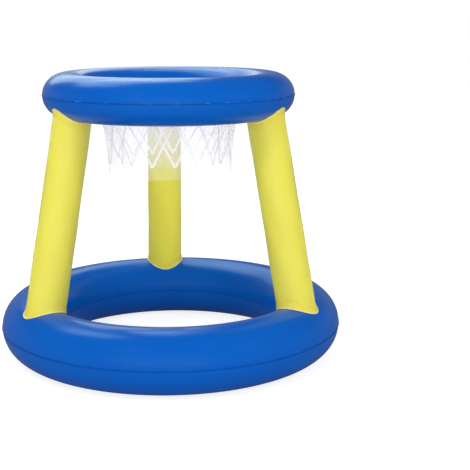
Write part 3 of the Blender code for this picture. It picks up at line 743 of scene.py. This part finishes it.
def net_strand(column, way):
    """One strand of ink from the top of the net to its hem, leaning one way or the other."""
    lean = way * column_turn * NET_ROWS / 2
    bpy.ops.object.select_all(action="DESELECT")
    bpy.ops.mesh.primitive_grid_add(x_subdivisions=STRAND_WIDTH_STEPS, y_subdivisions=STRAND_STEPS, size=1)
    strand = bpy.context.object
    for point in strand.data.vertices:
        share = point.co.y + 0.5
        turn = math.radians(NET_TURN_DEG) + column_turn * column + lean * share
        turn -= NET_SLIP * (1 + math.sin(turn))
        drop = NET_CLEAR_TOP + net_fall * share
        here = film_place(turn, drop)
        around = (film_place(turn + LOOK_ROUND, drop) - film_place(turn - LOOK_ROUND, drop)).normalized()
        down = (film_place(turn, drop + LOOK_DOWN) - film_place(turn, drop - LOOK_DOWN)).normalized()
        ahead = film_place(turn + lean * LOOK_AHEAD, drop + net_fall * LOOK_AHEAD) - here
        face = down.cross(around).normalized()
        aside = face.cross(ahead).normalized()
        point.co = here + face * NET_LIFTS[way] + aside * (point.co.x * NET_STRAND)
    return strand


net = joined([net_strand(column, way) for way in NET_LIFTS for column in range(NET_COLUMNS)], "printed_net")
solidify(net, INK_THICKNESS, 1.0)
smooth_below(SHEET_SMOOTH_DEG)

ink, sockets, start = new_material("white_ink")
place = start.node("ShaderNodeTexCoord", {}, {}, "Object")
grain = noise(start, place, INK_GRAIN)
feed(start, sockets["Base Color"], mix_colour(start, grain, INK_THIN, INK_FULL))
feed(start, sockets["Roughness"], grain * INK_ROUGHNESS_SPREAD + INK_ROUGHNESS)
emboss(start, sockets, grain * INK_GRAIN_DEPTH)
sockets["Alpha"].default_value = INK_COVER
# A faint glow: painted light on the ink
sockets["Emission Color"].default_value = INK_GLOW_TINT
sockets["Emission Strength"].default_value = INK_PAINTED_GLOW
net.data.materials.append(ink)
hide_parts("net_print")
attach(net, "root")

# The air valves, one for each air chamber, moulded in clear vinyl. The base's flange is welded over a hole in the
# ring with two pressed rings, the stem pushes in through its collar, and a cap on a strap plugs the stem's bore.
# A check flap under the stem's inner end keeps the air in while the cap is open.
VALVE_CLEAR = (0.90, 0.93, 0.96)
VALVE_CLOUDY = (0.84, 0.88, 0.94)
VALVE_CLOUD = (120.0, 1.0)
VALVE_CLOUD_DEPTH = 0.00001
VALVE_GRAIN = (2600.0, 2.0)
VALVE_GRAIN_DEPTH = 0.000003
VALVE_HAZE = (900.0, 2.0)
VALVE_HAZE_SPREAD = 0.08
VALVE_ROUGHNESS = 0.16
VALVE_CLARITY = 0.55
VALVE_SIDES = 64
VALVE_EDGE = 0.00018
VALVE_EDGE_STEPS = 3
VALVE_SMOOTH_DEG = 40
SKIN_HOLE_RADIUS = 0.0069
CAP_PIVOT_REACH = 0.0117
CAP_PIVOT_HEIGHT = 0.00325
FOLD_RADIUS = 0.00024
FLANGE = 0.0008
FLANGE_LIFT = 0.0006
FLANGE_RADII = (0.0140, 0.0136, 0.0124, 0.0122, 0.0118, 0.0116, 0.0104, 0.0102, 0.0098, 0.0096, 0.0084, 0.0071)
PRESSED_RINGS = ((0.0117, 0.0123), (0.0097, 0.0103))
PRESSED_RISE = 0.00015
# The turned mouldings, as (radius, height) points
COLLAR = ((0.0058, 0.0020), (0.0075, 0.0020), (0.0075, 0.0004), (0.0066, 0.0004), (0.0066, -0.0030),
          (0.0058, -0.0030))
STEM = ((0.0040, 0.0031), (0.0066, 0.0031), (0.0066, 0.0023), (0.0055, 0.0023), (0.0055, -0.0165),
        (0.0070, -0.0165), (0.0070, -0.0180), (0.0040, -0.0180))
CAP = ((0.0046, 0.0047), (0.0050, 0.0050), (0.0070, 0.0050), (0.0070, 0.0034), (0.0036, 0.0034), (0.0035, 0.0008),
       (0.0028, -0.0011))
FLAP = ((0.0052, -0.0183), (0.0052, -0.0191))
# The flat bars, as the (reach, height) of two opposite corners
TONGUE = ((0.0048, 0.0024), (0.01155, 0.0030))
STRAP = ((0.0040, 0.0035), (0.0117, 0.0041))
PULL_TAB = ((-0.0100, 0.0035), (-0.0040, 0.0041))
HINGE_TAB = ((0.0026, -0.0190), (0.0056, -0.0184))
BAR_WIDTH = 0.004
BAR_ROUNDING = 0.3
BAR_ROUNDING_STEPS = 6


def turned(name, place, profile, solid):
    """A turned moulding from a profile of (radius, height) points, bored through unless it is solid."""
    start = place @ Matrix.Translation((0, 0, profile[0][1]))
    piece = loop_on_axis(name, start, profile[0][0], VALVE_SIDES, "NGON" if solid else "NOTHING")
    following = profile[1:] if solid else profile[1:] + profile[:1]
    for (last, low), (spread, high) in zip(profile, following):
        spread_loop(start, last, spread, high - low)
    if solid:
        bpy.ops.mesh.edge_face_add()
    bpy.ops.mesh.select_all(action="SELECT")
    bpy.ops.mesh.remove_doubles(threshold=VALVE_EDGE / 20)
    face_outwards()
    to_mesh_place(piece)
    return piece


def moulded_bar(place, corners):
    """A flat bar whose outer end is rounded, such as a strap or a pull tab."""
    low, high = [Vector((reach, side * BAR_WIDTH / 2, height)) for side, (reach, height) in zip((-1, 1), corners)]
    bpy.ops.object.select_all(action="DESELECT")
    bpy.ops.mesh.primitive_cube_add(size=1, location=place @ ((low + high) / 2), rotation=place.to_euler())
    bar = bpy.context.object
    bar.scale = high - low
    to_mesh_place(bar)
    to_frame = place.inverted()
    outer = max(low.x, high.x, key=abs)
    bpy.ops.object.mode_set(mode="EDIT")
    bpy.ops.mesh.select_mode(type="EDGE")
    mesh = bmesh.from_edit_mesh(bar.data)
    for edge in mesh.edges:
        ends = [to_frame @ point.co for point in edge.verts]
        upright = abs(ends[0].z - ends[1].z) > (high.z - low.z) / 2
        edge.select_set(upright and all(abs(end.x - outer) < VALVE_EDGE for end in ends))
    bmesh.update_edit_mesh(bar.data)
    bpy.ops.mesh.bevel(offset=BAR_WIDTH * BAR_ROUNDING, segments=BAR_ROUNDING_STEPS)
    bpy.ops.mesh.select_mode(type="VERT")
    bpy.ops.object.mode_set(mode="OBJECT")
    return bar


def moulded_together(pieces, name):
    """Join the parts of one moulding and ease its edges."""
    moulding = joined(pieces, name)
    ease = moulding.modifiers.new("eased_edges", "BEVEL")
    ease.width = VALVE_EDGE
    ease.segments = VALVE_EDGE_STEPS
    ease.limit_method = "ANGLE"
    ease.angle_limit = math.radians(VALVE_SMOOTH_DEG)
    bpy.ops.object.modifier_apply(modifier="eased_edges")
    smooth_below(VALVE_SMOOTH_DEG)
    return moulding


def welded_flange(place, ring):
    """The flange: a washer that lies on the ring and has two pressed rings."""
    above = place @ Matrix.Translation((0, 0, FLANGE_RADII[0]))
    flange = loop_on_axis("flange", above, FLANGE_RADII[0], VALVE_SIDES)
    for last, spread in zip(FLANGE_RADII, FLANGE_RADII[1:]):
        spread_loop(above, last, spread, 0.0)
    lay_on(flange, ring, FLANGE_LIFT)
    for point in flange.data.vertices:
        if any(inner < point.co.xy.length < outer for inner, outer in PRESSED_RINGS):
            point.co.z += PRESSED_RISE
    to_mesh_place(flange)
    if flange.data.polygons[0].normal.dot(place.col[2].to_3d()) < 0:
        flange.data.flip_normals()
    solidify(flange, FLANGE, 1.0)
    return flange


def strap_fold(place):
    """The thin fold between a cap's strap and the stem's tongue, on which the cap swings."""
    pivot = Matrix.Translation((CAP_PIVOT_REACH, 0, CAP_PIVOT_HEIGHT)) @ Matrix.Rotation(math.pi / 2, 4, "X")
    return turned("fold", place @ pivot, ((FOLD_RADIUS, -BAR_WIDTH / 2), (FOLD_RADIUS, BAR_WIDTH / 2)), True)


def cut_skin_hole(ring, place):
    """The hole in the ring's sheet, under the valve."""
    bpy.ops.object.select_all(action="DESELECT")
    bpy.ops.mesh.primitive_cylinder_add(vertices=VALVE_SIDES, radius=SKIN_HOLE_RADIUS, depth=2 * FLANGE_RADII[0],
                                        location=place.translation, rotation=place.to_euler())
    drill = bpy.context.object
    bpy.context.view_layer.objects.active = ring
    hole = ring.modifiers.new("valve_hole", "BOOLEAN")
    hole.operation = "DIFFERENCE"
    hole.object = drill
    bpy.ops.object.modifier_apply(modifier="valve_hole")
    bpy.data.objects.remove(drill)


def valve_moulding(name):
    """Clear soft vinyl, slightly cloudy and with a fine moulded grain."""
    material, sockets, start = new_material(name)
    place = start.node("ShaderNodeTexCoord", {}, {}, "Object")
    cloud = noise(start, place, VALVE_CLOUD)
    feed(start, sockets["Base Color"], mix_colour(start, cloud, VALVE_CLOUDY, VALVE_CLEAR))
    haze = noise(start, place, VALVE_HAZE) * VALVE_HAZE_SPREAD
    feed(start, sockets["Roughness"], haze + (VALVE_ROUGHNESS - VALVE_HAZE_SPREAD / 2))
    emboss(start, sockets, noise(start, place, VALVE_GRAIN) * VALVE_GRAIN_DEPTH + cloud * VALVE_CLOUD_DEPTH)
    sockets["Transmission Weight"].default_value = VALVE_CLARITY
    return material


joints = {joint["name"]: joint for joint in frame["joints"]}
for label, ring in (("float", float_upper), ("hoop", hoop_upper)):
    out = Vector(joints[label + "_stem_slide"]["axis"])
    across = Vector(joints[label + "_cap_hinge"]["axis"])
    along = across.cross(out)
    pivot = Vector(joints[label + "_cap_hinge"]["pos_m"])
    site = pivot - along * CAP_PIVOT_REACH - out * CAP_PIVOT_HEIGHT
    place = Matrix.Translation(site) @ Matrix((along, across, out)).transposed().to_4x4()
    base = moulded_together([turned("collar", place, COLLAR, False), welded_flange(place, ring)], label + "_base")
    fold = strap_fold(place)
    tongue = moulded_bar(place, TONGUE)
    stem = moulded_together([turned("tube", place, STEM, False), tongue, fold], label + "_stem_tube")
    strap = moulded_bar(place, STRAP)
    pull_tab = moulded_bar(place, PULL_TAB)
    cap = moulded_together([turned("plug", place, CAP, True), strap, pull_tab], label + "_plug_cap")
    hinge_tab = moulded_bar(place, HINGE_TAB)
    flap = moulded_together([turned("disc", place, FLAP, True), hinge_tab], label + "_check_flap")
    cut_skin_hole(ring, place)
    material = valve_moulding(label + "_valve_moulding")
    for piece, node, body in ((base, "base", "root"), (stem, "stem", label + "_stem"),
                              (cap, "cap", label + "_cap"), (flap, "flap", label + "_flap")):
        piece.data.materials.append(material)
        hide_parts(f"{label}_valve_{node}")
        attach(piece, body)

# The floor, a white studio sweep. The camera sees it lit from within and nearly white, with a faint shadow of
# the float ring; in gloss it is dark, so that the rings' undersides keep their blue.
FLOOR_SIZE = 12.0
FLOOR_DROP = 0.0002
FLOOR_PLAIN = (0.70, 0.70, 0.70, 1.0)
FLOOR_LIT_SHARE = 0.42
FLOOR_LIT_LOSS = 0.7
FLOOR_GLOW = 0.80
FLOOR_GLOW_LOSS = 0.9
bpy.ops.mesh.primitive_plane_add(size=FLOOR_SIZE, location=(0, 0, -FLOOR_DROP))
floor = bpy.context.object
floor.name = "floor"
material, sockets, start = new_material("white_sweep")
in_view, in_gloss, through = [start.node("ShaderNodeLightPath", {}, {}, ray)
                              for ray in ("Is Camera Ray", "Is Glossy Ray", "Is Transmission Ray")]
lit_share = FLOOR_LIT_SHARE - in_gloss * (FLOOR_LIT_SHARE * FLOOR_LIT_LOSS)
lit = start.node("ShaderNodeBsdfDiffuse", {}, {"Color": lit_share})
strength = FLOOR_GLOW - in_gloss * (FLOOR_GLOW * FLOOR_GLOW_LOSS)
glow = start.node("ShaderNodeEmission", {}, {"Strength": strength})
shown = start.node("ShaderNodeAddShader", {}, {0: lit, 1: glow})
plain = start.node("ShaderNodeBsdfDiffuse", {}, {"Color": FLOOR_PLAIN})
whole = start.node("ShaderNodeMixShader", {}, {0: in_view + in_gloss + through, 1: plain, 2: shown})
feed(start, start.tree.nodes["Material Output"].inputs["Surface"], whole)
floor.data.materials.append(material)

# The light. The room is white to the camera but dim in gloss. A softbox behind the hoop and one above it make
# the streaks along the rings. A wide one in front, a small key at the upper left and a weak fill at the upper
# right show in diffuse light alone.
ROOM_WHITE = (1.0, 1.0, 1.0, 1.0)
ROOM_LIGHT = 0.62
ROOM_GLOSS_LOSS = 0.72
CEILING_GLOSS_LOSS = 0.22
CEILING_FROM = 0.15
CEILING_FULL = 0.45
world = bpy.data.worlds.new("white_room")
bpy.context.scene.world = world
world.use_nodes = True
background = world.node_tree.nodes["Background"].inputs
room = Shade(world.node_tree)
in_view, in_gloss, through = [room.node("ShaderNodeLightPath", {}, {}, ray)
                              for ray in ("Is Camera Ray", "Is Glossy Ray", "Is Transmission Ray")]
direction = room.node("ShaderNodeTexCoord", {}, {}, "Generated")
height = room.node("ShaderNodeSeparateXYZ", {}, {0: direction}, "Z")
overhead = fade(room, height, CEILING_FROM, CEILING_FULL, 0.0, CEILING_GLOSS_LOSS, "SMOOTHSTEP")
seen = (in_view + through + in_gloss) * (1 - ROOM_LIGHT) + ROOM_LIGHT
strength = room.math("MINIMUM", seen, 1.0) - in_gloss * (overhead + ROOM_GLOSS_LOSS)
feed(room, background["Strength"], strength)
background["Color"].default_value = ROOM_WHITE


def softbox(name, place, aim, width, length, watts, tint, in_gloss, in_diffuse):
    """A rectangular studio lamp that points at a place."""
    lamp = bpy.data.lights.new(name, "AREA")
    lamp.shape = "RECTANGLE"
    lamp.size = width
    lamp.size_y = length
    lamp.energy = watts
    lamp.color = tint
    lamp_object = bpy.data.objects.new(name, lamp)
    lamp_object.location = place
    lamp_object.visible_glossy = in_gloss
    lamp_object.visible_diffuse = in_diffuse
    lamp_object.rotation_euler = (Vector(aim) - Vector(place)).to_track_quat("-Z", "Y").to_euler()
    bpy.context.scene.collection.objects.link(lamp_object)


softbox("streak_softbox", place=(-0.55, 1.75, 1.60), aim=(0, 0, 0.4), width=1.6, length=1.4, watts=18,
        tint=(0.84, 1.0, 0.92), in_gloss=True, in_diffuse=True)
softbox("crest_softbox", place=(-0.60, 0.80, 2.0), aim=(0, 0, 0.45), width=1.7, length=0.95, watts=27,
        tint=(0.80, 1.0, 0.92), in_gloss=True, in_diffuse=False)
softbox("front_softbox", place=(-0.35, -2.8, 0.75), aim=(0, 0, 0.25), width=3.2, length=1.4, watts=30,
        tint=(1.0, 0.965, 0.90), in_gloss=False, in_diffuse=True)
softbox("key_softbox", place=(-1.0, -1.5, 2.1), aim=(0, 0, 0.35), width=0.45, length=0.45, watts=15,
        tint=(1.0, 0.98, 0.94), in_gloss=False, in_diffuse=True)
softbox("fill_softbox", place=(2.0, -1.4, 1.6), aim=(0, 0, 0.30), width=0.9, length=0.9, watts=12,
        tint=(1.0, 0.965, 0.92), in_gloss=False, in_diffuse=True)

bpy.context.scene.view_settings.view_transform = "Standard"
